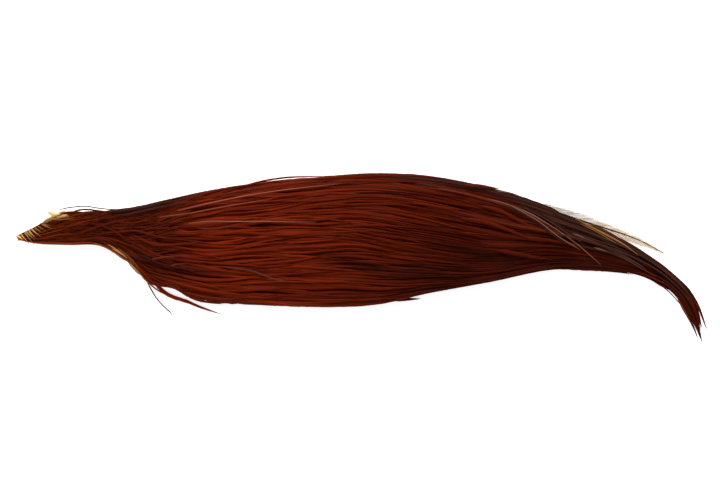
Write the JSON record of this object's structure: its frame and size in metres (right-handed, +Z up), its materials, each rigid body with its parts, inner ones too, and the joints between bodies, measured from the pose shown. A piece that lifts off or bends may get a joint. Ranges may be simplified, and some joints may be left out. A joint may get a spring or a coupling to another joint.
{
  "type": "rooster neck cape",
  "caption": "Dried rooster neck skin laid flat, covered with long narrow glossy red-brown hackle feathers that sweep to a curved pointed tail.",
  "frame": {"origin": "middle of the bounding box at the underside, on the surface the cape lies on", "axes": "+X from the head end of the skin to the hackle tips, +Z up off the surface, +Y toward the convex long edge"},
  "size_m": [0.316, 0.0752, 0.0122],
  "materials": {
    "skin": "dry, dull and slightly waxy",
    "buff_hackle": "short soft feathers with a dull sheen",
    "red_hackle": "glossy feather with a silky sheen",
    "cream_hackle": "thin feather with a soft sheen"
  },
  "bodies": {
    "root": {"skin": "skin", "hackle_01": "buff_hackle", "hackle_02": "buff_hackle", "hackle_03": "buff_hackle", "hackle_04": "buff_hackle", "hackle_05": "buff_hackle", "hackle_06": "red_hackle", "hackle_07": "red_hackle", "hackle_08": "red_hackle", "hackle_09": "red_hackle", "hackle_10": "red_hackle", "hackle_11": "red_hackle", "hackle_12": "red_hackle", "hackle_13": "red_hackle", "hackle_14": "red_hackle", "hackle_15": "red_hackle", "hackle_16": "red_hackle", "hackle_17": "red_hackle", "hackle_18": "red_hackle", "hackle_19": "red_hackle", "hackle_20": "red_hackle", "hackle_21": "red_hackle", "hackle_22": "red_hackle", "hackle_23": "red_hackle", "hackle_24": "red_hackle", "hackle_25": "red_hackle", "hackle_26": "red_hackle", "hackle_27": "red_hackle", "hackle_28": "red_hackle", "hackle_29": "red_hackle", "hackle_30": "red_hackle", "hackle_31": "red_hackle", "hackle_32": "red_hackle", "hackle_33": "red_hackle", "hackle_34": "red_hackle", "hackle_35": "red_hackle", "hackle_36": "red_hackle", "hackle_37": "red_hackle", "hackle_38": "red_hackle", "hackle_39": "red_hackle", "hackle_40": "red_hackle", "hackle_41": "red_hackle", "hackle_42": "red_hackle", "hackle_43": "red_hackle", "hackle_44": "red_hackle", "hackle_45": "red_hackle", "hackle_46": "red_hackle", "hackle_47": "red_hackle", "hackle_48": "red_hackle", "hackle_49": "red_hackle", "hackle_50": "red_hackle", "hackle_51": "red_hackle", "hackle_52": "red_hackle", "hackle_53": "red_hackle", "hackle_54": "red_hackle", "cream_hackle": "cream_hackle", "stray_hackle_01": "red_hackle", "stray_hackle_02": "red_hackle"}
  },
  "joints": []
}
